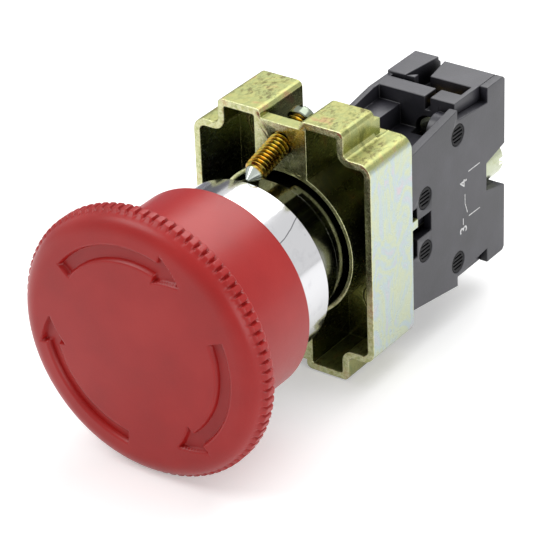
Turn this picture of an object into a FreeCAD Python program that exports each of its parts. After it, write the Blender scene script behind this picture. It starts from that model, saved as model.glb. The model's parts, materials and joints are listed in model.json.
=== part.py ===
"""Emergency stop button for a 22 mm panel hole: mushroom head, bezel, fixing collar and contact block.

Millimetres. +Z is up, +X is right as seen from the front, and +Y runs into the panel.
The origin is on the button axis, in the plane where the bezel's gasket meets the panel.
Sizes named "front" are measured forwards from that plane.
"""
import FreeCAD, Part
import math
import os

Vec = FreeCAD.Vector
INTO_PANEL = Vec(0, 1, 0)
SIDEWAYS = Vec(1, 0, 0)

# Clearances
running_gap = 0.06        # shaft in its bush, radial
seat_gap = 0.05           # fixed piece in its pocket
slide_gap = 0.1           # moving piece in its guide
free_gap = 0.3            # curved faces that only pass each other

# Travels
push_travel = 4.5
contact_share = 0.5       # bridge travel for each unit of push
clamp_close = 1.6         # terminal screw travel
twist_angle = 45.0

# Stem, bush and seal
stem_r = 4.0
stem_neck_r = 3.0
spigot_length = 4.9
clip_play = 0.02
bush_wall = 2.39
bush_length = 4.5
bush_flange_over = 0.85
bush_flange_thick = 1.2
seal_over = 2.2           # from the stem to the seal's outside
seal_thick = 1.4
seal_lip = 0.5

# Barrel and bezel
barrel_r = 11.0
panel_land_end = 6.0      # the land that fits the panel hole
land_step = 0.2           # the barrel is this much thinner behind the land
barrel_wall = 1.4
barrel_chamfer = 0.4
groove_skin = 0.6         # barrel wall left outside a pusher groove
keyway_width = 5.4
keyway_depth = 0.6
gasket_inset = 0.9
gasket_width = 0.9
gasket_thick = 1.05
bezel_rim = 0.9
bezel_rim_back = 0.2
bezel_chamfer = 0.8
bezel_front = 13.0
spring_well_width = 4.0
spring_well_depth = 3.0
front_wall_thick = 2.0

# Mushroom head
head_overhang = 4.7       # from the skirt to the outside of the ridges
head_length = 19.7
skirt_front = 8.0
skirt_gap = 0.6
skirt_wall = 1.6
skirt_flare = 2.0
skirt_chamfer = 0.4
crown_rise = 0.55
lip_inset = 3.5
lip_depth = 2.15
lip_bulge = 0.65          # how far the rolled edge stands off its chord
rim_back_depth = 4.9
roof_depth = 6.2
hub_r = 6.5
hub_length = 2.0
ridge_count = 90
ridge_depth = 0.45
ridge_share = 0.62        # part of each pitch that is ridge
ridge_sunk = 0.1          # how deep the ridges' roots lie in the crown
ridge_lead = 0.95         # cone at the ridges' front ends
ridge_inset = 2.6
ridge_length = 1.9
arrow_count = 3
arrow_depth = 0.85
arrow_inset = 1.25
arrow_width = 2.05
arrow_barb_over = 1.1     # how far the barbs stand out past the band
arrow_tail_deg = 141.5
arrow_barb_deg = 72.5
arrow_tip_deg = 57.0

# Latch ring and the stem's lugs
latch_wall = 2.35
latch_end = 3.0
latch_tooth_share = 0.35  # how far out the teeth start, from the stem to the lugs' ends
latch_tooth_length = 1.2
latch_tooth_spare_deg = 10.0   # between a tooth and a lug at either end of the twist
lug_count = 3
lug_gap = 0.4
lug_front = 6.0
lug_length = 3.0
lug_span_deg = 30.0

# Return spring
return_wire_r = 0.55
return_turns = 5.0

# Fixing collar
collar_front = 8.4
collar_depth = 10.8
collar_wall = 1.1
collar_side_room = 3.3    # from the sleeve to the collar's side
collar_corner_r = 2.0
shoulder_room = 4.3       # from the sleeve to the collar's shoulders
tab_rise = 4.1
tab_outer_inset = 4.5
tab_inner_x = 3.35
bend_r = 0.9
sleeve_gap = 0.35
sleeve_wall = 0.65
web_thick = 2.2
web_drop = 1.35
short_tab_depth = 8.0
ledge_depth = 1.5
ledge_drop = 1.6
opening_half_height = 4.4
opening_corner_r = 1.0
block_screw_inset = 4.5
boss_r = 3.0
boss_length = 4.0
boss_gap = 0.5            # from the barrel's end to the bosses
mark_r = 2.6
mark_depth = 0.3
mark_room = 0.75          # from the sleeve to a mark
mark_deg = 50.8
tongue_low = 0.9
tongue_high = 2.3
tongue_length = 1.4

# Pusher and its clip
pusher_thick = 3.5
pusher_gap = 0.2
pusher_hub_r = 5.6
pusher_hub_length = 3.5
pusher_key_width = 3.0
pusher_key_gap = 0.25
groove_run_out = 0.5      # groove in front of the keys at rest
pad_gap = 0.4
pad_half_height = 3.4
clip_inset = 1.6
clip_thick = 0.6
clip_groove_r = 2.4
clip_r = 3.7
clip_pocket_gap = 0.35
clip_opening = 0.7        # half the clip's gap, as a share of the groove radius

# Clamp screws
clamp_tilt_deg = 14.6
clamp_tip_y = 0.15
clamp_tip_out = 2.74      # from the barrel to the screw's tip
clamp_thread_r = 1.75
clamp_cone = 2.3
clamp_tip_r = 0.25
clamp_shank = 13.5
clamp_head_r = 2.1
clamp_head_height = 2.0
clamp_head_dome = 0.9
clamp_slot_width = 0.6
clamp_slot_depth = 0.9

# Contact block
block_left = -0.5
block_side_inset = 0.35   # from the collar's side to the block's
block_length = 26.2
block_front_half = 12.8
block_back_half = 14.8
block_chamfer = 0.5
block_wall = 0.95
front_wall = 1.4
cover_thick = 1.4
cover_inset = 0.3
shoulder_inset = 12.8
step_end_inset = 5.0      # from the block's back
step_depth = 1.7
step_slope = 0.7
notch_depth = 5.2
notch_half_in = 2.3
notch_half_out = 3.5
shelf_z = 12.5
shelf_inset = 4.8         # from the terminal screws to the edge of the shelf
floor_z = 8.2
floor_thick = 1.0
ramp_drop = 0.7
ramp_length = 6.5
rib_thick = 3.2
rib_skin = 2.3            # rib left in front of the fixed contact plate
rib_gap_inset = 0.45      # from the terminal screws to the gap in the rib
rib_gap_width = 0.9
entry_wall = 0.85         # between the wire entry and the cover
left_panel_inset = 4.6    # from the terminal screws to the end panels' slot
left_panel_lead = 2.3     # how far the left end panel stands in front of the right one
left_panel_rise = 0.5     # how far it stands above the right one
end_slot_lean = 1.2       # the slot's run across, from its front end to its back end
end_slot_width = 0.5
pin_r = 1.7
pin_depth = 1.9
pin_sunk = 0.1
pin_boss_r = 2.6
high_pin_inset = 12.9
high_pin_rise = 2.5
high_boss_length = 2.6
low_pin_inset = 3.9
low_pin_z = 4.4
low_boss_length = 5.3
boss_web_half = 1.0
pin_face_share = 0.78
pin_groove_pitch = 0.62
pin_groove_width = 0.3
pin_groove_depth = 0.3
tongue_slot_y = 1.7
tongue_slot_z = (-4.3, 3.8)
tongue_room_y = 5.5
tongue_room_half = 1.6

# Block fixing screw
fix_shank_r = 1.75
fix_tube_wall = 0.75
fix_head_r = 3.4
fix_head_over = 1.3
fix_head_dome = 0.7
fix_slot_width = 1.1
fix_slot_depth = 1.5
washer_thick = 0.8

# Plunger, bridge and contacts
plunger_inset = 2.5       # from the side of the collar's opening
plunger_half_width = 2.0
plunger_half_height = 2.4
plunger_tail = 1.0
rail_thick = 0.75
contact_spring_room = 5.3
bridge_thick = 0.7
bridge_half_width = 1.15
bridge_half_length = 6.6
tip_r = 1.1
tip_thick = 0.55
tip_z = 5.2
contact_gap_closed = 0.05
plate_inset = 16.5
plate_thick = 0.8
plate_low = 3.2
spring_room_half = 2.5
spring_room_skin = 0.9
plunger_spring_r = 1.7
plunger_wire_r = 0.2
plunger_turns = 5.0
contact_spring_r = 0.85
contact_wire_r = 0.15
contact_turns = 6.0

# Terminals
terminal_over = 3.7       # from the plunger to the terminal screws
terminal_z = 9.5
terminal_shank_r = 1.75
terminal_tip_length = 1.8
terminal_tip_room = 0.5
terminal_head_r = 2.8
terminal_head_height = 2.5
terminal_head_dome = 0.5
terminal_slot_width = 0.8
terminal_slot_depth = 1.2
wire_space = 1.7
clamp_plate_thick = 0.9
clamp_plate_half = 3.1
clamp_plate_over = 0.3
clamp_groove_depth = 0.3
clamp_groove_half = 0.4
clamp_room = 0.4          # below the clamp plate

# Worked out: radii, from the stem outwards
bush_r = stem_r + running_gap + bush_wall
bush_hole_r = bush_r + seat_gap
bush_flange_r = bush_r + bush_flange_over
spring_well_r = bush_hole_r + spring_well_width
return_spring_r = (bush_flange_r + spring_well_r) / 2
barrel_back_r = barrel_r - land_step
barrel_bore_r = barrel_back_r - barrel_wall
groove_r = barrel_back_r - groove_skin
keyway_floor = barrel_back_r - keyway_depth
latch_r = barrel_bore_r - seat_gap
latch_inner_r = latch_r - latch_wall
latch_tooth_deg = 360 / lug_count - lug_span_deg - twist_angle - 2 * latch_tooth_spare_deg
lug_r = latch_inner_r - lug_gap
latch_tooth_r = stem_r + latch_tooth_share * (lug_r - stem_r)
gasket_inner_r = barrel_r + gasket_inset
gasket_r = gasket_inner_r + gasket_width
bezel_r = gasket_r + bezel_rim
skirt_inner_r = bezel_r + skirt_gap
skirt_r = skirt_inner_r + skirt_wall
head_r = skirt_r + head_overhang
face_r = head_r - lip_inset
arrow_outer_r = face_r - arrow_inset
arrow_inner_r = arrow_outer_r - arrow_width
sleeve_bore_r = barrel_r + sleeve_gap
sleeve_r = sleeve_bore_r + sleeve_wall
collar_half_width = sleeve_r + collar_side_room
shoulder_height = sleeve_r + shoulder_room
tab_height = shoulder_height + tab_rise
tab_outer_x = collar_half_width - tab_outer_inset
block_screw_x = collar_half_width - block_screw_inset
pusher_r = barrel_bore_r - pusher_gap
pusher_key_r = groove_r - pusher_key_gap
opening_half_width = block_screw_x - boss_r - slide_gap
pad_half_width = opening_half_width - pad_gap
fix_hole_r = fix_shank_r + seat_gap
fix_tube_r = fix_shank_r + slide_gap + fix_tube_wall
fix_well_r = fix_head_r + free_gap

# Worked out: the head, forwards from the panel plane
crown_front = skirt_front + head_length
face_front = crown_front - crown_rise
lip_front = face_front - lip_depth
ridge_front = crown_front - ridge_inset
ridge_back = ridge_front - ridge_length
rim_back = crown_front - rim_back_depth
roof_front = crown_front - roof_depth
hub_front = roof_front - hub_length
spring_well_front = bezel_front - spring_well_depth
front_wall_back = spring_well_front - front_wall_thick
bush_front = front_wall_back + bush_length

# Worked out: stations behind the panel plane
collar_back = collar_front + collar_depth
collar_floor = collar_back - collar_wall
boss_start = collar_back - boss_length
barrel_end = boss_start - boss_gap
pusher_start = barrel_end - push_travel - pusher_thick
pusher_end = pusher_start + pusher_thick
stem_shoulder = pusher_start - pusher_hub_length
pad_end = collar_floor - push_travel - slide_gap
clip_start = pad_end - clip_inset
stem_end = pad_end - 2 * slide_gap
block_front = collar_back
block_back = block_front + block_length
shoulder_y = block_front + shoulder_inset
step_end_y = block_back - step_end_inset
notch_y = block_back - notch_depth
plate_y = block_front + plate_inset
rib_y = plate_y - rib_skin
rib_back_y = rib_y + rib_thick
clamp_plate_y = plate_y + plate_thick + wire_space
terminal_head_y = clamp_plate_y + clamp_plate_thick
terminal_tip_y = plate_y - terminal_tip_length
wire_back_y = terminal_head_y + free_gap
wire_left_back_y = wire_back_y - left_panel_lead
spring_room_end = notch_y - spring_room_skin
fixed_tip_y = plate_y - tip_thick
bridge_tip_back = fixed_tip_y - contact_gap_closed - push_travel * contact_share
bridge_back = bridge_tip_back - tip_thick
bridge_front = bridge_back - bridge_thick
window_start = bridge_front - contact_spring_room
window_end = bridge_back + seat_gap
plunger_end = window_end + plunger_tail
fix_head_y = notch_y + washer_thick
fix_head_end = block_back + fix_head_over

# Worked out: the block across its width and height
block_right = collar_half_width - block_side_inset
cover_x = block_right - cover_thick
chamber_x = block_left + block_wall
entry_x = cover_x - entry_wall
plunger_x = opening_half_width - plunger_inset
terminal_x = plunger_x + terminal_over
shelf_x = terminal_x - shelf_inset
rib_gap_x = terminal_x - rib_gap_inset
left_panel_x = terminal_x - left_panel_inset
plate_left = plunger_x - plunger_half_width
plate_right = terminal_x + clamp_plate_half + clamp_plate_over
plate_high = terminal_z + clamp_plate_half
high_pin_z = floor_z + high_pin_rise
above_block = block_back_half + 1
pin_places = [(block_front + high_pin_inset, high_pin_z), (block_front + high_pin_inset, -high_pin_z),
              (block_front + low_pin_inset, low_pin_z), (block_front + low_pin_inset, -low_pin_z)]


# ---- shape helpers ----

def cylinder(radius, start, end, x=0.0, z=0.0):
    """A cylinder along the button axis, from one station to another."""
    return Part.makeCylinder(radius, end - start, Vec(x, start, z), INTO_PANEL)


def ring(outer, inner, start, end, x=0.0, z=0.0):
    return cylinder(outer, start, end, x, z).cut(cylinder(inner, start - 1, end + 1, x, z))


def box(x_span, y_span, z_span):
    low = Vec(x_span[0], y_span[0], z_span[0])
    return Part.makeBox(x_span[1] - low.x, y_span[1] - low.y, z_span[1] - low.z, low)


def both_ways(shape):
    """The shape and its copy turned half a turn about the button axis."""
    return shape.fuse(half_turn(shape))


def half_turn(shape):
    turned = shape.copy()
    turned.rotate(Vec(), INTO_PANEL, 180)
    return turned


def mirrored(shape):
    """The shape's image below the z = 0 plane."""
    return shape.mirror(Vec(), Vec(0, 0, 1))


def top_and_bottom(shape):
    return shape.fuse(mirrored(shape))


def turned_profile(steps):
    """Turn a closed (radius, station) profile; a pair of points is an arc through the first."""
    at = lambda point: Vec(point[0], point[1], 0)
    edges, here = [], steps[0]
    for step in steps[1:] + steps[:1]:
        if isinstance(step[0], tuple):
            through, there = step
            edges.append(Part.Arc(at(here), at(through), at(there)).toShape())
        else:
            there = step
            edges.append(Part.makeLine(at(here), at(there)))
        here = there
    return Part.Face(Part.Wire(edges)).revolve(Vec(), INTO_PANEL, 360)


def rounded_loop(corners, to_space):
    """A closed wire through (a, b, radius) corners, each rounded by its own tangent arc."""
    points = [Vec(a, b, 0) for a, b, _ in corners]
    starts, ends, middles = [], [], []
    for index, (_, _, radius) in enumerate(corners):
        corner = points[index]
        back = (points[index - 1] - corner).normalize()
        ahead = (points[(index + 1) % len(points)] - corner).normalize()
        half = back.getAngle(ahead) / 2
        run = radius / math.tan(half)
        starts.append(corner + back * run)
        ends.append(corner + ahead * run)
        middle = (back + ahead).normalize() if radius else back
        middles.append(corner + middle * (radius / math.sin(half) - radius))
    edges = []
    for index, (_, _, radius) in enumerate(corners):
        if radius:
            arc = (starts[index], middles[index], ends[index])
            edges.append(Part.Arc(*[to_space(p.x, p.y) for p in arc]).toShape())
        following = starts[(index + 1) % len(points)]
        edges.append(Part.makeLine(to_space(*ends[index][:2]), to_space(*following[:2])))
    return Part.Wire(edges)


def front_prism(corners, start, end):
    """Extrude a rounded (x, z) outline along the button axis."""
    wire = rounded_loop(corners, lambda x, z: Vec(x, start, z))
    return Part.Face(wire).extrude(Vec(0, end - start, 0))


def side_prism(corners, start, end):
    """Extrude a rounded (y, z) outline across the block."""
    wire = rounded_loop(corners, lambda y, z: Vec(start, y, z))
    return Part.Face(wire).extrude(Vec(end - start, 0, 0))


def coil(mean_r, wire_r, start, end, turns, x=0.0, z=0.0):
    """A compression spring of round wire between two stations."""
    height = end - start - 2 * wire_r
    pitch = height / turns
    slope = Vec(0, 1, pitch / (2 * math.pi * mean_r))
    path = Part.Wire(Part.makeHelix(pitch, height, mean_r).Edges)
    section = Part.Wire(Part.makeCircle(wire_r, Vec(mean_r, 0, 0), slope))
    spring = path.makePipeShell([section], True, True)
    spring.rotate(Vec(), SIDEWAYS, -90)
    spring.translate(Vec(x, start + wire_r, z))
    return spring


def slotted_head(radius, height, slot_width, slot_depth, dome):
    """A round screw head standing on station 0, with a domed rim and a driver slot."""
    head = cylinder(radius, 0, height)
    rim = [edge for edge in head.Edges if abs(edge.BoundBox.YMin - height) < 1e-6 and len(edge.Vertexes) == 1]
    head = head.makeFillet(dome, rim)
    across, along = slot_width / 2, radius + 1
    return head.cut(box((-across, across), (height - slot_depth, height + 1), (-along, along)))


# ---- mushroom head and stem ----

def head_body():
    crown_r = (face_r ** 2 + crown_rise ** 2) / (2 * crown_rise)
    crown_mid = crown_front - (face_r / 2) ** 2 / (2 * crown_r)
    core_r = head_r - ridge_depth + ridge_sunk
    flare_mid = skirt_flare * (1 - math.sqrt(0.5))
    lip_width, lip_rise = core_r - face_r, face_front - lip_front
    lip_chord = math.hypot(lip_width, lip_rise)
    lip_mid = (face_r + lip_width / 2 + lip_bulge * lip_rise / lip_chord,
               -face_front + lip_rise / 2 - lip_bulge * lip_width / lip_chord)
    return turned_profile([
        (0.0, -crown_front),
        ((face_r / 2, -crown_mid), (face_r, -face_front)),
        (lip_mid, (core_r, -lip_front)),
        (core_r, -rim_back),
        (skirt_r + skirt_flare, -rim_back),
        ((skirt_r + flare_mid, -rim_back + flare_mid), (skirt_r, -rim_back + skirt_flare)),
        (skirt_r, -skirt_front - skirt_chamfer),
        (skirt_r - skirt_chamfer, -skirt_front),
        (skirt_inner_r, -skirt_front),
        (skirt_inner_r, -roof_front),
        (hub_r, -roof_front),
        (hub_r, -hub_front),
        (0.0, -hub_front),
    ])


def ridge_band():
    """Straight knurling: a toothed disc trimmed to a slightly coned envelope."""
    pitch = 2 * math.pi / ridge_count
    rise = pitch * (1 - ridge_share) / 4
    points = []
    for index in range(ridge_count):
        middle = index * pitch
        for offset, radius in ((-ridge_share * pitch / 2 - rise, head_r - ridge_depth),
                               (-ridge_share * pitch / 2 + rise, head_r),
                               (ridge_share * pitch / 2 - rise, head_r),
                               (ridge_share * pitch / 2 + rise, head_r - ridge_depth)):
            angle = middle + offset
            points.append(Vec(radius * math.cos(angle), -ridge_front, radius * math.sin(angle)))
    teeth = Part.Face(Part.makePolygon(points + points[:1])).extrude(Vec(0, ridge_front - ridge_back, 0))
    envelope = turned_profile([
        (head_r - ridge_depth - 2, -ridge_front - 1),
        (head_r - ridge_lead, -ridge_front),
        (head_r, -ridge_front + ridge_lead),
        (head_r, -ridge_back + 1),
        (head_r - ridge_depth - 2, -ridge_back + 1),
    ])
    return teeth.common(envelope)


def turn_arrow(turn_deg):
    """One clockwise arrow, as a cutter for the face."""
    def at(radius, angle_deg):
        angle = math.radians(angle_deg + turn_deg)
        return Vec(radius * math.cos(angle), -crown_front - 1, radius * math.sin(angle))
    middle_deg = (arrow_tail_deg + arrow_barb_deg) / 2
    middle_r = (arrow_inner_r + arrow_outer_r) / 2
    edges = [
        Part.Arc(at(arrow_outer_r, arrow_tail_deg), at(arrow_outer_r, middle_deg),
                 at(arrow_outer_r, arrow_barb_deg)).toShape(),
        Part.makeLine(at(arrow_outer_r, arrow_barb_deg), at(arrow_outer_r + arrow_barb_over, arrow_barb_deg)),
        Part.makeLine(at(arrow_outer_r + arrow_barb_over, arrow_barb_deg), at(middle_r, arrow_tip_deg)),
        Part.makeLine(at(middle_r, arrow_tip_deg), at(arrow_inner_r - arrow_barb_over, arrow_barb_deg)),
        Part.makeLine(at(arrow_inner_r - arrow_barb_over, arrow_barb_deg), at(arrow_inner_r, arrow_barb_deg)),
        Part.Arc(at(arrow_inner_r, arrow_barb_deg), at(arrow_inner_r, middle_deg),
                 at(arrow_inner_r, arrow_tail_deg)).toShape(),
        Part.makeLine(at(arrow_inner_r, arrow_tail_deg), at(arrow_outer_r, arrow_tail_deg)),
    ]
    depth = crown_front + 1 - face_front + arrow_depth
    return Part.Face(Part.Wire(edges)).extrude(Vec(0, depth, 0))


def mushroom_head():
    head = head_body().fuse(ridge_band())
    for index in range(arrow_count):
        head = head.cut(turn_arrow(-index * 360 / arrow_count))
    socket = cylinder(stem_neck_r + seat_gap, -hub_front - spigot_length - slide_gap, -hub_front + 1)
    return head.cut(socket)


def head_stem():
    stem = cylinder(stem_r, -hub_front, stem_shoulder)
    stem = stem.fuse(cylinder(stem_neck_r, -hub_front - spigot_length, stem_end))
    for index in range(lug_count):
        lug = Part.makeCylinder(lug_r, lug_length, Vec(0, -lug_front, 0), INTO_PANEL, lug_span_deg)
        lug.rotate(Vec(), INTO_PANEL, index * 360 / lug_count)
        stem = stem.fuse(lug)
    groove = ring(stem_neck_r + 1, clip_groove_r, clip_start, clip_start + clip_thick)
    return stem.cut(groove)


def retaining_clip():
    """A ring with one gap, sprung into the stem's groove."""
    clip = ring(clip_r, clip_groove_r + seat_gap, clip_start + clip_play,
                clip_start + clip_thick - clip_play)
    half_gap = clip_groove_r * clip_opening
    gap = box((-half_gap, half_gap), (clip_start - 1, clip_start + 2), (0, clip_r + 1))
    return clip.cut(gap)


# ---- bezel and what it holds ----

def bezel_body():
    body = turned_profile([
        (spring_well_r, -bezel_front),
        (bezel_r - bezel_chamfer, -bezel_front),
        (bezel_r, -bezel_front + bezel_chamfer),
        (bezel_r, -bezel_rim_back),
        (gasket_r + seat_gap, -bezel_rim_back),
        (gasket_r + seat_gap, -gasket_thick),
        (gasket_inner_r - seat_gap, -gasket_thick),
        (gasket_inner_r - seat_gap, -bezel_rim_back),
        (barrel_r, -bezel_rim_back),
        (barrel_r, panel_land_end),
        (barrel_back_r, panel_land_end),
        (barrel_back_r, barrel_end - barrel_chamfer),
        (barrel_back_r - barrel_chamfer, barrel_end),
        (barrel_bore_r, barrel_end),
        (barrel_bore_r, -front_wall_back),
        (bush_hole_r, -front_wall_back),
        (bush_hole_r, -spring_well_front),
        (spring_well_r, -spring_well_front),
    ])
    half_key = keyway_width / 2
    keyway = box((-half_key, half_key), (panel_land_end, barrel_end + 1), (keyway_floor, barrel_r + 1))
    half_groove = pusher_key_width / 2 + free_gap / 2
    grooves = cylinder(groove_r, pusher_start - groove_run_out, barrel_end + 1).common(
        box((-barrel_r, barrel_r), (0, barrel_end + 1), (-half_groove, half_groove)))
    return body.cut(keyway).cut(grooves)


def stem_bush():
    tube = ring(bush_r, stem_r + running_gap, -bush_front, -front_wall_back)
    flange = ring(bush_flange_r, stem_r + running_gap,
                  -spring_well_front - bush_flange_thick, -spring_well_front)
    return tube.fuse(flange).removeSplitter()


def stem_seal():
    """A rubber ring with a lip that leans towards the stem."""
    back = -bush_front
    front = back - seal_thick
    lip_r = stem_r + free_gap
    return turned_profile([
        (lip_r, front), (lip_r + seal_lip, front), (lip_r + seal_lip + free_gap, front + seal_lip),
        (stem_r + seal_over, front + seal_lip), (stem_r + seal_over, back),
        (lip_r + seal_lip, back), (lip_r + free_gap, front + seal_lip + slide_gap),
    ])


def panel_gasket():
    return ring(gasket_r, gasket_inner_r, -gasket_thick, 0)


def return_spring():
    return coil(return_spring_r, return_wire_r, -roof_front + seat_gap, -spring_well_front - seat_gap,
                return_turns)


def latch_ring():
    """The cam ring: its teeth stand between the stem's lugs."""
    body = ring(latch_r, latch_inner_r, -front_wall_back, latch_end)
    tooth_start = -front_wall_back + slide_gap
    first_deg = lug_span_deg + twist_angle + latch_tooth_spare_deg
    bore = cylinder(latch_tooth_r, tooth_start - 1, tooth_start + latch_tooth_length + 1)
    for index in range(lug_count):
        tooth = Part.makeCylinder(latch_inner_r + 0.5, latch_tooth_length,
                                  Vec(0, tooth_start, 0), INTO_PANEL, latch_tooth_deg)
        tooth.rotate(Vec(), INTO_PANEL, first_deg + index * 360 / lug_count)
        body = body.fuse(tooth.cut(bore))
    return body


def pusher():
    body = cylinder(pusher_r, pusher_start, pusher_end)
    body = body.fuse(cylinder(pusher_hub_r, stem_shoulder, pusher_start))
    half_key = pusher_key_width / 2
    keys = cylinder(pusher_key_r, pusher_start, pusher_end).common(
        box((-barrel_r, barrel_r), (pusher_start, pusher_end), (-half_key, half_key)))
    pad = box((-pad_half_width, pad_half_width), (pusher_end, pad_end), (-pad_half_height, pad_half_height))
    clip_pocket = cylinder(clip_r + clip_pocket_gap, clip_start - free_gap, pad_end + 1)
    bore = cylinder(stem_neck_r + running_gap, stem_shoulder - 1, pad_end + 1)
    return body.fuse(keys).fuse(pad).cut(clip_pocket).cut(bore).removeSplitter()


# ---- fixing collar and its clamp screws ----

def collar_outline(inset):
    """The collar's outline, with two tabs and a slot between them at the top and the bottom."""
    corner_r = max(collar_corner_r - inset, 0.3)
    outer_bend = max(bend_r - inset, 0.3)
    inner_bend = bend_r + inset
    right = [
        (collar_half_width - inset, shoulder_height - inset, corner_r),
        (tab_outer_x - inset, shoulder_height - inset, inner_bend),
        (tab_outer_x - inset, tab_height - inset, outer_bend),
        (tab_inner_x + inset, tab_height - inset, outer_bend),
        (tab_inner_x + inset, barrel_r - 1, 0),
    ]
    top = right + [(-x, z, r) for x, z, r in reversed(right)]
    return top + [(-x, -z, r) for x, z, r in top]


def short_tab_cut():
    """What is missing behind the short tab at the top right."""
    tab_back = collar_front + short_tab_depth
    ledge_x = tab_outer_x - collar_wall
    gone = box((tab_inner_x - 0.1, tab_outer_x + 0.5), (tab_back, collar_back + 1),
               (shoulder_height, tab_height + 1))
    ledge = box((ledge_x, tab_outer_x), (tab_back - 1, tab_back + ledge_depth),
                (shoulder_height - 1, tab_height - ledge_drop))
    return gone.cut(ledge)


def collar_cavity():
    """The hollow between the outer wall and the sleeve, shallower behind the short tabs."""
    hollow = front_prism(collar_outline(collar_wall), collar_front - 1, collar_floor)
    fill = box((tab_inner_x, tab_outer_x), (collar_front + short_tab_depth - collar_wall, collar_floor),
               (shoulder_height - collar_wall, tab_height))
    return hollow.cut(cylinder(sleeve_r, collar_front - 2, collar_floor + 1)).cut(both_ways(fill))


def clamp_web():
    web = box((-tab_inner_x - 0.5, tab_inner_x + 0.5), (collar_front, collar_front + web_thick),
              (sleeve_r - sleeve_wall / 2, tab_height - web_drop))
    return web.cut(placed_clamp(cylinder(clamp_thread_r + running_gap, 0, clamp_shank)))


def collar_marks():
    """Shallow round marks on the floor of the hollow."""
    reach, angle = sleeve_r + mark_room + mark_r, math.radians(mark_deg)
    mark = cylinder(mark_r, collar_floor - 1, collar_floor + mark_depth,
                    reach * math.cos(angle), reach * math.sin(angle))
    return both_ways(mark).fuse(both_ways(mirrored(mark)))


def block_opening():
    corners = [(sx * opening_half_width, sz * opening_half_height, opening_corner_r)
               for sx, sz in ((1, 1), (-1, 1), (-1, -1), (1, -1))]
    return front_prism(corners, collar_floor - 1, collar_back + 1)


def collar_body():
    body = front_prism(collar_outline(0), collar_front, collar_back)
    body = body.fuse(cylinder(sleeve_r, collar_front, collar_back))
    body = body.cut(collar_cavity()).cut(cylinder(sleeve_bore_r, collar_front - 1, collar_floor))
    body = body.cut(both_ways(short_tab_cut())).cut(collar_marks()).cut(block_opening())
    body = body.fuse(both_ways(clamp_web()))
    for side in (1, -1):
        body = body.fuse(cylinder(boss_r, boss_start, collar_back, side * block_screw_x))
        body = body.cut(cylinder(fix_hole_r, boss_start, collar_back + 1, side * block_screw_x))
    tongue = box((collar_half_width - collar_wall, collar_half_width),
                 (collar_back - 1, collar_back + tongue_length), (tongue_low, tongue_high))
    return body.fuse(both_ways(tongue)).removeSplitter()


def placed_clamp(shape):
    """Put something made along +Y from its tip onto the top clamp screw's axis."""
    placed = shape.copy()
    placed.rotate(Vec(), SIDEWAYS, clamp_tilt_deg)
    placed.translate(Vec(0, clamp_tip_y, barrel_r + clamp_tip_out))
    return placed


def clamp_screw():
    body = turned_profile([
        (0.0, 0.0), (clamp_tip_r, 0.0), (clamp_thread_r, clamp_cone),
        (clamp_thread_r, clamp_shank), (0.0, clamp_shank),
    ])
    head = slotted_head(clamp_head_r, clamp_head_height, clamp_slot_width, clamp_slot_depth, clamp_head_dome)
    head.translate(Vec(0, clamp_shank, 0))
    return placed_clamp(body.fuse(head).removeSplitter())


# ---- contact block ----

def block_outline(front):
    """The block's side outline, with the screw notch in its back."""
    top = [
        (front, block_front_half),
        (shoulder_y, block_back_half),
        (block_back - block_chamfer, block_back_half),
        (block_back, block_back_half - block_chamfer),
        (block_back, notch_half_out),
        (notch_y, notch_half_in),
    ]
    points = top + [(y, -z) for y, z in reversed(top)]
    return [(y, z, 0) for y, z in points]


def screw_passages():
    """Every round way through the block: fixing screw, its head, and the two terminal screws."""
    ways = cylinder(fix_shank_r + slide_gap, block_front - 1, block_back, block_screw_x)
    ways = ways.fuse(cylinder(fix_well_r, notch_y, block_back + 1, block_screw_x))
    shank_way = cylinder(terminal_shank_r + free_gap, terminal_tip_y - clamp_close - terminal_tip_room,
                         wire_back_y, terminal_x, terminal_z)
    head_way = cylinder(terminal_head_r + free_gap, wire_back_y - 1, block_back + 1, terminal_x, terminal_z)
    return ways.fuse(top_and_bottom(shank_way.fuse(head_way)))


def top_pocket():
    """The open pocket in front of the rib: a shelf on the left, deeper on the right."""
    span_y = (block_front + front_wall, rib_y)
    upper = box((chamber_x, cover_x), span_y, (shelf_z, above_block))
    low = floor_z + floor_thick
    deep = box((shelf_x, cover_x), span_y, (low, shelf_z + 1))
    ramp = side_prism([(span_y[0], low, 0), (span_y[0], shelf_z - ramp_drop, 0),
                       (span_y[0] + ramp_length, low, 0)], shelf_x, cover_x)
    return upper.fuse(deep.cut(ramp))


def wire_entry():
    """The way in for a wire, between the rib and the end panels, and the slanted slot behind it."""
    low = terminal_z - clamp_plate_half - clamp_room
    gap = box((chamber_x, entry_x), (rib_back_y, wire_left_back_y), (low, above_block))
    gap = gap.fuse(box((left_panel_x, entry_x), (rib_back_y - seat_gap, wire_back_y), (low, above_block)))
    slot_right = left_panel_x + slide_gap
    slot_left = slot_right - end_slot_width
    slot = [(slot_left - end_slot_lean, wire_left_back_y - seat_gap),
            (slot_right + end_slot_lean, wire_back_y - seat_gap),
            (slot_right, block_back + 1), (slot_left, block_back + 1)]
    return gap.fuse(prism_down(slot, shelf_z - ramp_drop, above_block))


def prism_down(corners, low, high):
    """Extrude an (x, y) outline between two heights."""
    points = [Vec(x, y, low) for x, y in corners]
    return Part.Face(Part.makePolygon(points + points[:1])).extrude(Vec(0, 0, high - low))


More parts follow.
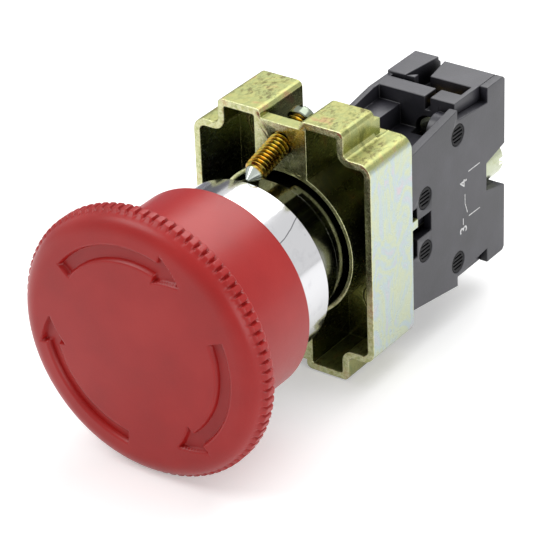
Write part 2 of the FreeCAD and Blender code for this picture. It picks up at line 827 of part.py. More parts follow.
def chamber():
    """The sealed room for the plunger, the bridge and the fixed contacts."""
    room = box((chamber_x, cover_x + 1), (block_front + front_wall, plate_y - seat_gap), (-floor_z, floor_z))
    spring_room = box((plunger_x - spring_room_half, plunger_x + spring_room_half),
                      (plate_y - 1, spring_room_end), (-spring_room_half, spring_room_half))
    way_half_width, way_half_height = plunger_half_width + slide_gap, plunger_half_height + slide_gap
    plunger_way = box((plunger_x - way_half_width, plunger_x + way_half_width),
                      (block_front - 1, block_front + front_wall + 1), (-way_half_height, way_half_height))
    return room.fuse(spring_room).fuse(plunger_way)


def plate_slot():
    """Where a fixed contact plate lies against the back of the rib."""
    return box((plate_left - seat_gap, plate_right + seat_gap),
               (plate_y - seat_gap, rib_back_y + slide_gap),
               (plate_low - slide_gap, plate_high + seat_gap))


def pin_bosses():
    bosses = []
    for y, z in pin_places:
        upper = abs(z) > floor_z
        start = cover_x - (high_boss_length if upper else low_boss_length)
        boss = Part.makeCylinder(pin_boss_r, cover_x - start, Vec(start, y, z), SIDEWAYS)
        if not upper:
            web = box((start, cover_x), (block_front + 1, y), (z - boss_web_half, z + boss_web_half))
            boss = boss.fuse(web)
        bosses.append(boss)
    return bosses


def pin_shape(radius, start, end, y, z):
    return Part.makeCylinder(radius, end - start, Vec(start, y, z), SIDEWAYS)


def block_housing():
    body = side_prism(block_outline(block_front), block_left, cover_x)
    raised = box((block_left, left_panel_x), (wire_left_back_y, block_back - block_chamfer),
                 (block_back_half - block_chamfer, block_back_half + left_panel_rise))
    body = body.fuse(top_and_bottom(raised))
    body = body.cut(chamber()).cut(top_and_bottom(top_pocket()))
    body = body.cut(top_and_bottom(wire_entry()))
    rib_gap = box((rib_gap_x, rib_gap_x + rib_gap_width), (rib_y - 1, rib_back_y + 1),
                  (plate_high, above_block))
    body = body.cut(top_and_bottom(rib_gap))
    tube = cylinder(fix_tube_r, block_front + 1, notch_y - seat_gap, block_screw_x)
    body = body.fuse([tube] + pin_bosses()).cut(screw_passages()).cut(top_and_bottom(plate_slot()))
    for y, z in pin_places:
        body = body.cut(pin_shape(pin_r + seat_gap, cover_x - pin_depth, cover_x + 1, y, z))
    return body.removeSplitter()


def block_cover():
    """The right side wall, with its stepped edge over the wire entries and a slot for the collar's tongue."""
    body = side_prism(block_outline(block_front + cover_inset), cover_x, block_right)
    step_low = block_back_half - step_depth
    step = side_prism([(shoulder_y, step_low, 0), (step_end_y, step_low - step_slope, 0),
                       (step_end_y, above_block, 0), (shoulder_y, above_block, 0)],
                      cover_x - 1, block_right + 1)
    body = body.cut(top_and_bottom(step))
    through = (cover_x - 1, block_right + 1)
    slot = box(through, (block_front - 1, block_front + tongue_slot_y), tongue_slot_z)
    slot = slot.fuse(box(through, (block_front, block_front + tongue_room_y),
                         (-tongue_room_half, tongue_room_half)))
    body = body.cut(slot).cut(cylinder(fix_well_r, notch_y, block_back + 1, block_screw_x))
    for y, z in pin_places:
        body = body.cut(pin_shape(pin_r + seat_gap, cover_x - 1, block_right + 1, y, z))
    return body.removeSplitter()


def cover_pins():
    """Four pins with grooved ends that hold the cover to the housing."""
    pins = []
    end = block_right - pin_sunk
    for y, z in pin_places:
        pin = pin_shape(pin_r, cover_x - pin_depth + pin_sunk, end, y, z)
        face = pin_shape(pin_r * pin_face_share, end - pin_groove_depth, block_right, y, z)
        for place in (-1.5, -0.5, 0.5, 1.5):
            low = z + place * pin_groove_pitch - pin_groove_width / 2
            groove = box((cover_x, block_right), (y - pin_r, y + pin_r), (low, low + pin_groove_width))
            pin = pin.cut(groove.common(face))
        pins.append(pin)
    return Part.makeCompound(pins)


def block_screw():
    shank = cylinder(fix_shank_r, boss_start + seat_gap, fix_head_y)
    head = slotted_head(fix_head_r, fix_head_end - fix_head_y, fix_slot_width, fix_slot_depth, fix_head_dome)
    head.rotate(Vec(), INTO_PANEL, 90)
    head.translate(Vec(0, fix_head_y, 0))
    screw = shank.fuse(head).removeSplitter()
    screw.translate(Vec(block_screw_x, 0, 0))
    return screw


def block_screw_washer():
    return ring(fix_head_r - slide_gap, fix_shank_r + slide_gap, notch_y, fix_head_y, block_screw_x)


# ---- contacts ----

def contact_plunger():
    """The plunger from the pusher's pad to the return spring, with a window for the bridge."""
    x_span = (plunger_x - plunger_half_width, plunger_x + plunger_half_width)
    z_span = (-plunger_half_height, plunger_half_height)
    body = box(x_span, (pad_end, plunger_end), z_span)
    inner = (x_span[0] + rail_thick, x_span[1] - rail_thick)
    return body.cut(box(inner, (window_start, window_end), (z_span[0] - 1, z_span[1] + 1)))


def plunger_spring():
    return coil(plunger_spring_r, plunger_wire_r, plunger_end + seat_gap, spring_room_end - seat_gap,
                plunger_turns, plunger_x)


def contact_spring():
    return coil(contact_spring_r, contact_wire_r, window_start + seat_gap, bridge_front - seat_gap,
                contact_turns, plunger_x)


def bridge_contact():
    return box((plunger_x - bridge_half_width, plunger_x + bridge_half_width), (bridge_front, bridge_back),
               (-bridge_half_length, bridge_half_length))


def bridge_tips():
    tips = [cylinder(tip_r, bridge_back, bridge_tip_back, plunger_x, side * tip_z) for side in (1, -1)]
    return Part.makeCompound(tips)


def fixed_tips():
    tips = [cylinder(tip_r, fixed_tip_y, plate_y, plunger_x, side * tip_z) for side in (1, -1)]
    return Part.makeCompound(tips)


def fixed_contact():
    """The upper fixed contact: a flat plate from the tip to under the terminal screw."""
    plate = box((plate_left, plate_right), (plate_y, plate_y + plate_thick), (plate_low, plate_high))
    return plate.cut(cylinder(terminal_shank_r + slide_gap, plate_y - 1, plate_y + 2, terminal_x, terminal_z))


def terminal_clamp():
    """The upper wire clamp: a grooved square plate under the screw head."""
    span_x = (terminal_x - clamp_plate_half - clamp_plate_over, plate_right)
    span_z = (terminal_z - clamp_plate_half, terminal_z + clamp_plate_half)
    plate = box(span_x, (clamp_plate_y, terminal_head_y), span_z)
    groove = box(span_x, (clamp_plate_y, clamp_plate_y + clamp_groove_depth),
                 (terminal_z - clamp_groove_half, terminal_z + clamp_groove_half))
    plate = plate.cut(groove)
    return plate.cut(cylinder(terminal_shank_r + seat_gap, clamp_plate_y - 1, terminal_head_y + 1,
                              terminal_x, terminal_z))


def terminal_screw():
    shank = cylinder(terminal_shank_r, terminal_tip_y, terminal_head_y)
    head = slotted_head(terminal_head_r, terminal_head_height, terminal_slot_width, terminal_slot_depth,
                        terminal_head_dome)
    head.translate(Vec(0, terminal_head_y, 0))
    screw = shank.fuse(head).removeSplitter()
    screw.translate(Vec(terminal_x, 0, terminal_z))
    return screw


# ---- every node ----

def all_nodes():
    return {
        "mushroom_head": mushroom_head(),
        "head_stem": head_stem(),
        "retaining_clip": retaining_clip(),
        "return_spring": return_spring(),
        "bezel_body": bezel_body(),
        "stem_bush": stem_bush(),
        "stem_seal": stem_seal(),
        "panel_gasket": panel_gasket(),
        "latch_ring": latch_ring(),
        "pusher": pusher(),
        "collar_body": collar_body(),
        "clamp_screw_top": clamp_screw(),
        "clamp_screw_bottom": half_turn(clamp_screw()),
        "block_housing": block_housing(),
        "block_cover": block_cover(),
        "cover_pins": cover_pins(),
        "block_screw": block_screw(),
        "block_screw_washer": block_screw_washer(),
        "contact_plunger": contact_plunger(),
        "plunger_spring": plunger_spring(),
        "bridge_contact": bridge_contact(),
        "bridge_tips": bridge_tips(),
        "contact_spring": contact_spring(),
        "fixed_tips": fixed_tips(),
        "fixed_contact_4": fixed_contact(),
        "fixed_contact_3": mirrored(fixed_contact()),
        "terminal_clamp_4": terminal_clamp(),
        "terminal_clamp_3": mirrored(terminal_clamp()),
        "terminal_screw_4": terminal_screw(),
        "terminal_screw_3": mirrored(terminal_screw()),
    }


os.makedirs("parts", exist_ok=True)
for name, shape in all_nodes().items():
    shape.exportStep(os.path.join("parts", name + ".step"))
    print(name, "solids", len(shape.Solids), "valid", shape.isValid(), "volume", round(shape.Volume, 1))
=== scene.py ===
import bpy
import bmesh
import json
import math
from mathutils import Matrix, Vector

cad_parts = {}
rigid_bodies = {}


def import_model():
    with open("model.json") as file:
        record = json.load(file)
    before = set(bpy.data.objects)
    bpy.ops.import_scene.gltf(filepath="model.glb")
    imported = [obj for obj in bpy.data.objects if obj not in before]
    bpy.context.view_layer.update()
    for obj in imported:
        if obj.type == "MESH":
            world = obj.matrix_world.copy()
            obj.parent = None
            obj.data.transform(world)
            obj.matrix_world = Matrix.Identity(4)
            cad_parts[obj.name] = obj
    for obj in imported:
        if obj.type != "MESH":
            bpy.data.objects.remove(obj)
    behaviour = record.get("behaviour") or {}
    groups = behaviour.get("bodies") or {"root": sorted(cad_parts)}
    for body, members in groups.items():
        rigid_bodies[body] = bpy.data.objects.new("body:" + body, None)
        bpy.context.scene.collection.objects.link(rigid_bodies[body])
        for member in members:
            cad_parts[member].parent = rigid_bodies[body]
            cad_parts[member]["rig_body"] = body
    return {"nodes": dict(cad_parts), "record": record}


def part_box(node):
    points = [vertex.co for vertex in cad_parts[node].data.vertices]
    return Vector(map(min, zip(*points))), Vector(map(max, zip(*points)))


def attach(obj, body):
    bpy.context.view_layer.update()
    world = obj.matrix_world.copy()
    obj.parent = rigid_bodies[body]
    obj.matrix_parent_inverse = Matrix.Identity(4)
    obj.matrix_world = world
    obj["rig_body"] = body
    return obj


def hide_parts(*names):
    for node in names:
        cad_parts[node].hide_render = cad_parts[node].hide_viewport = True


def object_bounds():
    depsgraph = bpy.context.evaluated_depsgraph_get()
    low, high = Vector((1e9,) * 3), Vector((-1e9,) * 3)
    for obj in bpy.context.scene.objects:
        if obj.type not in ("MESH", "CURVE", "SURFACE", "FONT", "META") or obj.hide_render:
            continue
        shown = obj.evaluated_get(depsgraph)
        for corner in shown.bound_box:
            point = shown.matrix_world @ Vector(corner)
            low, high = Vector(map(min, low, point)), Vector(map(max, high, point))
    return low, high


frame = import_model()
cadLow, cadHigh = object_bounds()
print("frame loaded:", len(frame["nodes"]), "nodes")

mm = 0.001
alongButton = Vector((0, 1, 0))


# nodes for the finishes

def newMaterial(name):
    material = bpy.data.materials.new(name)
    material.use_nodes = True
    return material, material.node_tree, material.node_tree.nodes["Principled BSDF"]


def addNode(tree, kind, **settings):
    node = tree.nodes.new(kind)
    for key, value in settings.items():
        setattr(node, key, value)
    return node


def surfacePoint(tree, stretch=(1, 1, 1), turn=(0, 0, 0)):
    place = addNode(tree, "ShaderNodeTexCoord")
    mapping = addNode(tree, "ShaderNodeMapping")
    mapping.inputs["Scale"].default_value = stretch
    mapping.inputs["Rotation"].default_value = turn
    tree.links.new(place.outputs["Object"], mapping.inputs["Vector"])
    return mapping.outputs["Vector"]


def noise(tree, size, detail=3.0, rough=0.5, stretch=(1, 1, 1), turn=(0, 0, 0), swirl=0.0):
    node = addNode(tree, "ShaderNodeTexNoise")
    node.inputs["Scale"].default_value = 1 / (size * mm)
    node.inputs["Detail"].default_value = detail
    node.inputs["Roughness"].default_value = rough
    node.inputs["Distortion"].default_value = swirl
    tree.links.new(surfacePoint(tree, stretch, turn), node.inputs["Vector"])
    return node.outputs["Fac"]


def specks(tree, spacing, size):
    node = addNode(tree, "ShaderNodeTexVoronoi", feature="F1")
    node.inputs["Scale"].default_value = 1 / (spacing * mm)
    tree.links.new(surfacePoint(tree), node.inputs["Vector"])
    return between(tree, node.outputs["Distance"], size * 0.6, size, 1, 0)


def between(tree, source, low, high, outLow=0.0, outHigh=1.0):
    node = addNode(tree, "ShaderNodeMapRange", clamp=True, interpolation_type="SMOOTHSTEP")
    for index, value in zip((1, 2, 3, 4), (low, high, outLow, outHigh)):
        node.inputs[index].default_value = value
    tree.links.new(source, node.inputs[0])
    return node.outputs[0]


def spread(tree, source, low, high):
    # a straight map from 0..1, for roughness
    node = addNode(tree, "ShaderNodeMapRange", clamp=True)
    node.inputs[3].default_value, node.inputs[4].default_value = low, high
    tree.links.new(source, node.inputs[0])
    return node.outputs[0]


def maths(tree, operation, first, second=None):
    node = addNode(tree, "ShaderNodeMath", operation=operation, use_clamp=operation != "ABSOLUTE")
    for index, value in enumerate((first, second)):
        if value is None:
            continue
        if isinstance(value, (int, float)):
            node.inputs[index].default_value = value
        else:
            tree.links.new(value, node.inputs[index])
    return node.outputs[0]


def shifted(tree, source, step):
    node = addNode(tree, "ShaderNodeMath", operation="ADD")
    node.inputs[1].default_value = step
    tree.links.new(source, node.inputs[0])
    return node.outputs[0]


def scaled(tree, source, share):
    node = addNode(tree, "ShaderNodeMath", operation="MULTIPLY")
    node.inputs[1].default_value = share
    tree.links.new(source, node.inputs[0])
    return node.outputs[0]


def colourRamp(tree, source, stops):
    node = addNode(tree, "ShaderNodeValToRGB")
    ramp = node.color_ramp
    while len(ramp.elements) < len(stops):
        ramp.elements.new(0.5)
    for element, (place, colour) in zip(ramp.elements, stops):
        element.position = place
        element.color = (*colour, 1)
    tree.links.new(source, node.inputs["Fac"])
    return node.outputs["Color"]


def mixed(tree, share, first, second, blend="MIX"):
    node = addNode(tree, "ShaderNodeMix", data_type="RGBA", blend_type=blend)
    for socket, value in zip((node.inputs[0], node.inputs[6], node.inputs[7]), (share, first, second)):
        if isinstance(value, tuple):
            socket.default_value = (*value, 1)
        elif isinstance(value, (int, float)):
            socket.default_value = value
        else:
            tree.links.new(value, socket)
    return node.outputs[2]


def bump(tree, shader, height, depth, strength=1.0, under=None):
    node = addNode(tree, "ShaderNodeBump")
    node.inputs["Strength"].default_value = strength
    node.inputs["Distance"].default_value = depth * mm
    tree.links.new(height, node.inputs["Height"])
    if under:
        tree.links.new(under, node.inputs["Normal"])
    tree.links.new(node.outputs["Normal"], shader.inputs["Normal"])
    return node.outputs["Normal"]


def openness(tree, reach):
    node = addNode(tree, "ShaderNodeAmbientOcclusion", samples=8)
    node.inputs["Distance"].default_value = reach * mm
    return node.outputs["AO"]


def axisValue(tree, axis):
    split = addNode(tree, "ShaderNodeSeparateXYZ")
    tree.links.new(surfacePoint(tree), split.inputs["Vector"])
    return split.outputs[axis]


def grey(level):
    return (level, level, level)


# finishes

redFinish = {"colour": (0.35, 0.009, 0.008), "dark": (0.31, 0.007, 0.006), "pale": (0.40, 0.017, 0.014),
             "grain": 0.22, "grainDepth": 0.018}


def redPlastic():
    material, tree, shader = newMaterial("redPlastic")
    cloud = noise(tree, 9, 3)
    grain = noise(tree, redFinish["grain"], 2)
    shades = [(0.30, redFinish["dark"]), (0.52, redFinish["colour"]), (0.78, redFinish["pale"])]
    base = colourRamp(tree, cloud, shades)
    fine = mixed(tree, between(tree, grain, 0.35, 0.75, 0, 0.22), base, redFinish["pale"])
    tree.links.new(fine, shader.inputs["Base Color"])
    tree.links.new(spread(tree, grain, 0.28, 0.42), shader.inputs["Roughness"])
    shader.inputs["Specular IOR Level"].default_value = 0.36
    shader.inputs["Subsurface Weight"].default_value = 0.06
    shader.inputs["Subsurface Radius"].default_value = (0.0020, 0.0005, 0.0004)
    shader.inputs["Subsurface Scale"].default_value = 0.5
    soft = bump(tree, shader, noise(tree, 1.6, 2), 0.02, 0.5)
    bump(tree, shader, grain, redFinish["grainDepth"], 0.6, soft)
    return material


chromeFinish = {"colour": (0.62, 0.62, 0.635), "stain": (0.40, 0.40, 0.43), "darkReflection": (0.10, 0.10, 0.11),
                "speck": (0.05, 0.05, 0.055), "barrel": (0.17, 0.175, 0.15), "barrelStart": -0.25,
                "reflectionTurn": -0.72, "reflectionLean": 18.0, "reflectionWander": 0.06,
                "reflectionCore": 0.003, "reflectionEdge": 0.009}


def chromePlate():
    material, tree, shader = newMaterial("chromePlate")
    haze = noise(tree, 3.5, 4, 0.6)
    brushed = noise(tree, 0.35, 3, 0.6, stretch=(1, 0.12, 1))
    stained = between(tree, haze, 0.52, 0.80, 0, 0.5)
    base = mixed(tree, stained, chromeFinish["colour"], chromeFinish["stain"])
    base = mixed(tree, specks(tree, 1.9, 0.07), base, chromeFinish["speck"])
    # a thin dark line painted along the bezel as a painted reflection, leaning with its length
    wander = noise(tree, 4.0, 2)
    around = addNode(tree, "ShaderNodeMath", operation="ARCTAN2")
    tree.links.new(axisValue(tree, "X"), around.inputs[0])
    tree.links.new(axisValue(tree, "Z"), around.inputs[1])
    skew = addNode(tree, "ShaderNodeMath", operation="MULTIPLY_ADD")
    skew.inputs[1].default_value = chromeFinish["reflectionLean"]
    tree.links.new(axisValue(tree, "Y"), skew.inputs[0])
    tree.links.new(around.outputs[0], skew.inputs[2])
    drift = shifted(tree, scaled(tree, wander, chromeFinish["reflectionWander"]), chromeFinish["reflectionTurn"])
    offLine = addNode(tree, "ShaderNodeMath", operation="ADD")
    tree.links.new(skew.outputs[0], offLine.inputs[0])
    tree.links.new(drift, offLine.inputs[1])
    darkReflection = between(tree, maths(tree, "ABSOLUTE", offLine.outputs[0]),
                   chromeFinish["reflectionCore"], chromeFinish["reflectionEdge"], 0.8, 0)
    base = mixed(tree, darkReflection, base, chromeFinish["darkReflection"])
    start = chromeFinish["barrelStart"] * mm
    # painted shade: the barrel behind the bezel is coloured near black
    barrelShadeMask = between(tree, axisValue(tree, "Y"), start, start + 0.1 * mm)
    base = mixed(tree, barrelShadeMask, base, chromeFinish["barrel"])
    tree.links.new(base, shader.inputs["Base Color"])
    shader.inputs["Metallic"].default_value = 1
    tree.links.new(spread(tree, haze, 0.06, 0.20), shader.inputs["Roughness"])
    bump(tree, shader, brushed, 0.004, 0.5)
    return material


zincFinish = {"yellow": (0.38, 0.38, 0.15), "green": (0.30, 0.33, 0.14), "olive": (0.20, 0.215, 0.080),
              "blue": (0.42, 0.50, 0.51), "pink": (0.52, 0.46, 0.48), "lemon": (0.49, 0.53, 0.37),
              "deep": (0.080, 0.084, 0.045), "grain": (0.11, 0.090, 0.035),
              "edge": (0.60, 0.60, 0.38), "rust": (0.40, 0.28, 0.14),
              "edgeSheen": (8.45, 8.7), "sideSheenBand": (11, 13)}


def facingShare(tree, axis, low, high):
    split = addNode(tree, "ShaderNodeSeparateXYZ")
    facing = addNode(tree, "ShaderNodeNewGeometry")
    tree.links.new(facing.outputs["Normal"], split.inputs["Vector"])
    return between(tree, maths(tree, "ABSOLUTE", split.outputs[axis]), low, high)


def passivatedZinc():
    # yellow-green all over, with the passivation's own pink, blue and lemon tints used as a painted sheen on
    # the sideways-facing outer walls, worn patches on top, a painted highlight along the front edges and
    # painted shade in the hollows
    material, tree, shader = newMaterial("passivatedZinc")
    drift = noise(tree, 4.5, 4, 0.6, stretch=(1, 1, 0.6), swirl=0.7)
    green = colourRamp(tree, drift, [(0.32, zincFinish["olive"]), (0.42, zincFinish["yellow"]),
                                     (0.50, zincFinish["green"]), (0.58, zincFinish["yellow"]),
                                     (0.66, zincFinish["rust"])])
    pale = colourRamp(tree, drift, [(0.34, zincFinish["pink"]), (0.44, zincFinish["blue"]),
                                    (0.53, zincFinish["lemon"]), (0.60, zincFinish["blue"]),
                                    (0.70, zincFinish["pink"])])
    # painted sheen: the outer walls that face sideways are drawn in the pale tints
    sideStart, sideEnd = zincFinish["sideSheenBand"]
    sideSheenMask = between(tree, maths(tree, "ABSOLUTE", axisValue(tree, "X")), sideStart * mm, sideEnd * mm)
    base = mixed(tree, maths(tree, "MULTIPLY", facingShare(tree, "X", 0.75, 0.97), sideSheenMask), green, pale)
    mottle = noise(tree, 0.7, 8, 0.8, stretch=(1, 0.5, 1))
    patches = between(tree, noise(tree, 4.0, 2), 0.40, 0.58, 0.25, 1)
    worn = maths(tree, "MULTIPLY", facingShare(tree, "Z", 0.80, 0.98),
                 between(tree, mottle, 0.47, 0.60, 0, 0.85))
    base = mixed(tree, maths(tree, "MULTIPLY", worn, patches), base, zincFinish["grain"])
    # painted highlight: a pale band on the sheet's front edges
    sheenStart, sheenEnd = zincFinish["edgeSheen"]
    sheetEdge = between(tree, axisValue(tree, "Y"), sheenStart * mm, sheenEnd * mm, 0.75, 0)
    sheen = maths(tree, "MULTIPLY", sheetEdge, between(tree, mottle, 0.40, 0.55))
    base = mixed(tree, sheen, base, zincFinish["edge"])
    # painted shade: the closed-in hollows go dark
    hollow = between(tree, openness(tree, 8), 0.15, 0.55, 1, 0)
    base = mixed(tree, hollow, base, zincFinish["deep"])
    tree.links.new(base, shader.inputs["Base Color"])
    shader.inputs["Metallic"].default_value = 1
    streaks = noise(tree, 0.5, 4, 0.6, stretch=(1, 0.10, 1))
    flatTop = maths(tree, "MULTIPLY", facingShare(tree, "Z", 0.75, 0.96), 0.5)
    dull = maths(tree, "ADD", spread(tree, mottle, 0.16, 0.36), maths(tree, "MULTIPLY", flatTop, 0.5))
    tree.links.new(dull, shader.inputs["Roughness"])
    wave = bump(tree, shader, noise(tree, 2.2, 3), 0.05, 0.35)
    bump(tree, shader, streaks, 0.006, 0.5, wave)
    return material


clampTilt = math.radians(14.6)
clampTip = (0.15, 13.74)
screwFinish = {"gold": (0.42, 0.32, 0.055), "olive": (0.22, 0.22, 0.06), "orange": (0.46, 0.25, 0.035),
               "steel": (0.46, 0.50, 0.46), "head": (0.20, 0.23, 0.18), "root": (0.030, 0.024, 0.008),
               "bareTip": 1.5, "bareHead": 13.2}


def passivatedScrew():
    # gold thread with painted shade in its roots; the tip and the head are worn bright
    material, tree, shader = newMaterial("passivatedScrew")
    drift = noise(tree, 1.1, 3, swirl=0.8)
    tint = colourRamp(tree, drift, [(0.34, screwFinish["olive"]), (0.48, screwFinish["gold"]),
                                    (0.60, screwFinish["orange"]), (0.68, screwFinish["gold"])])
    # painted shade: an occlusion mask darkens the thread roots
    tint = mixed(tree, between(tree, openness(tree, 0.5), 0.40, 0.85, 0.92, 0), tint, screwFinish["root"])
    height = maths(tree, "ABSOLUTE", axisValue(tree, "Z"))
    along = addNode(tree, "ShaderNodeMath", operation="MULTIPLY")
    along.inputs[1].default_value = math.sin(clampTilt)
    tree.links.new(height, along.inputs[0])
    total = addNode(tree, "ShaderNodeMath", operation="MULTIPLY_ADD")
    total.inputs[1].default_value = math.cos(clampTilt)
    tree.links.new(axisValue(tree, "Y"), total.inputs[0])
    tree.links.new(along.outputs[0], total.inputs[2])
    origin = (clampTip[0] * math.cos(clampTilt) + clampTip[1] * math.sin(clampTilt)) * mm
    tip, top = origin + screwFinish["bareTip"] * mm, origin + screwFinish["bareHead"] * mm
    bare = between(tree, total.outputs[0], tip, tip + 0.3 * mm, 1, 0)
    base = mixed(tree, bare, tint, screwFinish["steel"])
    base = mixed(tree, between(tree, total.outputs[0], top, top + 0.4 * mm), base, screwFinish["head"])
    tree.links.new(base, shader.inputs["Base Color"])
    shader.inputs["Metallic"].default_value = 1
    tree.links.new(spread(tree, drift, 0.10, 0.26), shader.inputs["Roughness"])
    bump(tree, shader, noise(tree, 0.3, 3), 0.01, 0.3)
    return material


def brightSteel(name, colour, stain, roughness):
    material, tree, shader = newMaterial(name)
    haze = noise(tree, 1.8, 4, 0.6)
    stained = between(tree, haze, 0.48, 0.72, 0, 0.6)
    tree.links.new(mixed(tree, stained, colour, stain), shader.inputs["Base Color"])
    shader.inputs["Metallic"].default_value = 1
    tree.links.new(spread(tree, haze, roughness * 0.6, roughness * 1.5), shader.inputs["Roughness"])
    bump(tree, shader, noise(tree, 0.25, 3, stretch=(1, 0.3, 1)), 0.006, 0.4)
    return material


blockFinish = {"colour": (0.027, 0.026, 0.034), "dark": (0.018, 0.018, 0.023), "pale": (0.052, 0.051, 0.064),
               "hollow": (0.004, 0.004, 0.005), "pin": (0.012, 0.012, 0.013),
               "grain": 0.28, "grainDepth": 0.02}


def mouldedPlastic(name, colour, dark, pale, low, high, reach=0, sheen=0.5):
    # with a reach, places closed in by their own walls get painted shade and a weaker sheen
    material, tree, shader = newMaterial(name)
    cloud = noise(tree, 6, 3)
    grain = noise(tree, blockFinish["grain"], 3, 0.6)
    base = colourRamp(tree, cloud, [(0.34, dark), (0.55, colour), (0.90, pale)])
    base = mixed(tree, between(tree, grain, 0.50, 0.75, 0, 0.30), base, pale)
    if reach:
        # painted shade in the hollows, with the sheen turned down there
        shade = between(tree, openness(tree, reach), 0.20, 0.85, 1, 0)
        base = mixed(tree, shade, base, blockFinish["hollow"])
        lit = scaled(tree, between(tree, shade, 0, 1, 1, 0.15), sheen)
        tree.links.new(lit, shader.inputs["Specular IOR Level"])
    tree.links.new(base, shader.inputs["Base Color"])
    tree.links.new(spread(tree, grain, low, high), shader.inputs["Roughness"])
    bump(tree, shader, grain, blockFinish["grainDepth"], 0.7)
    return material


def softRubber():
    material, tree, shader = newMaterial("softRubber")
    grain = noise(tree, 0.4, 4)
    shades = colourRamp(tree, grain, [(0.3, grey(0.012)), (0.8, grey(0.030))])
    tree.links.new(shades, shader.inputs["Base Color"])
    tree.links.new(spread(tree, grain, 0.6, 0.8), shader.inputs["Roughness"])
    bump(tree, shader, grain, 0.02, 0.5)
    return material


def whitePrint():
    material, tree, shader = newMaterial("whitePrint")
    patchy = noise(tree, 0.35, 3)
    shades = colourRamp(tree, patchy, [(0.30, grey(0.42)), (0.55, grey(0.74))])
    tree.links.new(shades, shader.inputs["Base Color"])
    tree.links.new(spread(tree, patchy, 0.5, 0.7), shader.inputs["Roughness"])
    return material


finishes = {
    "red_head": redPlastic(),
    "chrome": chromePlate(),
    "passivated_zinc": passivatedZinc(),
    "passivated_screw": passivatedScrew(),
    "zinc_screw": brightSteel("zincScrew", (0.46, 0.49, 0.36), (0.34, 0.37, 0.18), 0.24),
    "black_plastic": mouldedPlastic("blackPlastic", blockFinish["colour"], blockFinish["dark"],
                                    blockFinish["pale"], 0.28, 0.44, 4.0, 0.55),
    "natural_plastic": mouldedPlastic("naturalPlastic", (0.55, 0.52, 0.44), (0.45, 0.42, 0.34),
                                      (0.68, 0.65, 0.56), 0.35, 0.5),
    "green_plastic": mouldedPlastic("greenPlastic", (0.03, 0.20, 0.08), (0.02, 0.13, 0.05),
                                    (0.07, 0.28, 0.13), 0.35, 0.5),
    "rubber": softRubber(),
    "spring_steel": brightSteel("springSteel", (0.55, 0.55, 0.56), (0.30, 0.29, 0.28), 0.22),
    "contact_brass": brightSteel("contactBrass", (0.72, 0.50, 0.16), (0.48, 0.30, 0.08), 0.25),
    "silver_tip": brightSteel("silverTip", (0.80, 0.79, 0.76), (0.45, 0.44, 0.42), 0.20),
}
slotOf = {row["node"]: row["material_slot"] for row in frame["record"]["subparts"]}
bodyOf = {node: obj["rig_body"] for node, obj in frame["nodes"].items()}
for node, obj in frame["nodes"].items():
    obj.data.materials.clear()
    obj.data.materials.append(finishes[slotOf[node]])
print("finishes made:", len(finishes))


# pieces

def finishPiece(bm, name, body, slotName, replaced=(), smoothDeg=40, material=None):
    mesh = bpy.data.meshes.new(name)
    bm.to_mesh(mesh)
    bm.free()
    mesh.shade_smooth()
    mesh.set_sharp_from_angle(angle=math.radians(smoothDeg))
    mesh.materials.append(material or finishes[slotName])
    obj = bpy.data.objects.new(name, mesh)
    bpy.context.scene.collection.objects.link(obj)
    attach(obj, body)
    if replaced:
        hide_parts(*replaced)
    return obj


def softCopy(node, width, material=None, segments=2, sharpDeg=28):
    # the CAD node with its sharp edges rounded over
    bm = bmesh.new()
    bm.from_mesh(frame["nodes"][node].data)
    bmesh.ops.remove_doubles(bm, verts=bm.verts, dist=0.002 * mm)
    bmesh.ops.dissolve_limit(bm, angle_limit=math.radians(0.6), verts=bm.verts, edges=bm.edges)
    bmesh.ops.triangulate(bm, faces=bm.faces, quad_method="BEAUTY", ngon_method="BEAUTY")
    sharp = math.radians(sharpDeg)
    edges = [edge for edge in bm.edges if edge.is_manifold and edge.calc_face_angle(0) > sharp]
    bmesh.ops.bevel(bm, geom=edges, offset=width * mm, offset_type="OFFSET", affect="EDGES",
                    segments=segments, profile=0.5, material=-1, clamp_overlap=False, loop_slide=False)
    obj = finishPiece(bm, node + "_soft", bodyOf[node], slotOf[node], [node], material=material)
    obj.modifiers.new("flatFaces", "WEIGHTED_NORMAL").keep_sharp = True
    return obj


def turnedShape(profile, steps):
    # spins an open (radius, station) profile that starts and ends on the button's axis
    bm = bmesh.new()
    verts = [bm.verts.new((radius * mm, station * mm, 0)) for radius, station in profile]
    edges = [bm.edges.new(pair) for pair in zip(verts, verts[1:])]
    bmesh.ops.spin(bm, geom=verts + edges, cent=(0, 0, 0), axis=alongButton, dvec=(0, 0, 0),
                   angle=math.tau, steps=steps, use_merge=True, use_duplicate=False)
    bmesh.ops.remove_doubles(bm, verts=bm.verts, dist=0.001 * mm)
    bmesh.ops.recalc_face_normals(bm, faces=bm.faces)
    return bm


def arcPoints(centre, radius, startDeg, endDeg, count):
    turns = [math.radians(startDeg + (endDeg - startDeg) * step / count) for step in range(count + 1)]
    return [(centre[0] + radius * math.cos(turn), centre[1] + radius * math.sin(turn)) for turn in turns]


def smoothStep(value):
    value = min(max(value, 0.0), 1.0)
    return value * value * (3 - 2 * value)


headLow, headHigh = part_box("mushroom_head")
head = {
    "radius": headHigh.x / mm, "crown": -headLow.y / mm, "skirtFront": -headHigh.y / mm,
    "crownRise": 0.55, "faceRadius": 17.1, "rollDrop": 2.15, "rimBack": 4.9, "rimEdge": 0.3,
    "skirtRadius": 15.9, "skirtFlare": 2.0, "skirtWall": 1.6, "skirtEdge": 0.4,
    "roofDepth": 6.2, "hubRadius": 6.5, "hubLength": 2.0, "socketRadius": 3.05, "socketDepth": 5.0,
    "ridges": 90, "stepsPerRidge": 10, "ridgeDepth": 0.55, "ridgeShare": 0.72, "ridgeSoftness": 0.16,
    "ridgeFront": 2.6, "ridgeBack": 4.5,
    "arrows": 3, "arrowDepth": 0.85, "arrowInner": 13.8, "arrowOuter": 15.85, "arrowBarb": 2.12,
    "tailDeg": 141.5, "barbDeg": 72.5, "tipDeg": 57, "arrowEdge": 0.32,
}


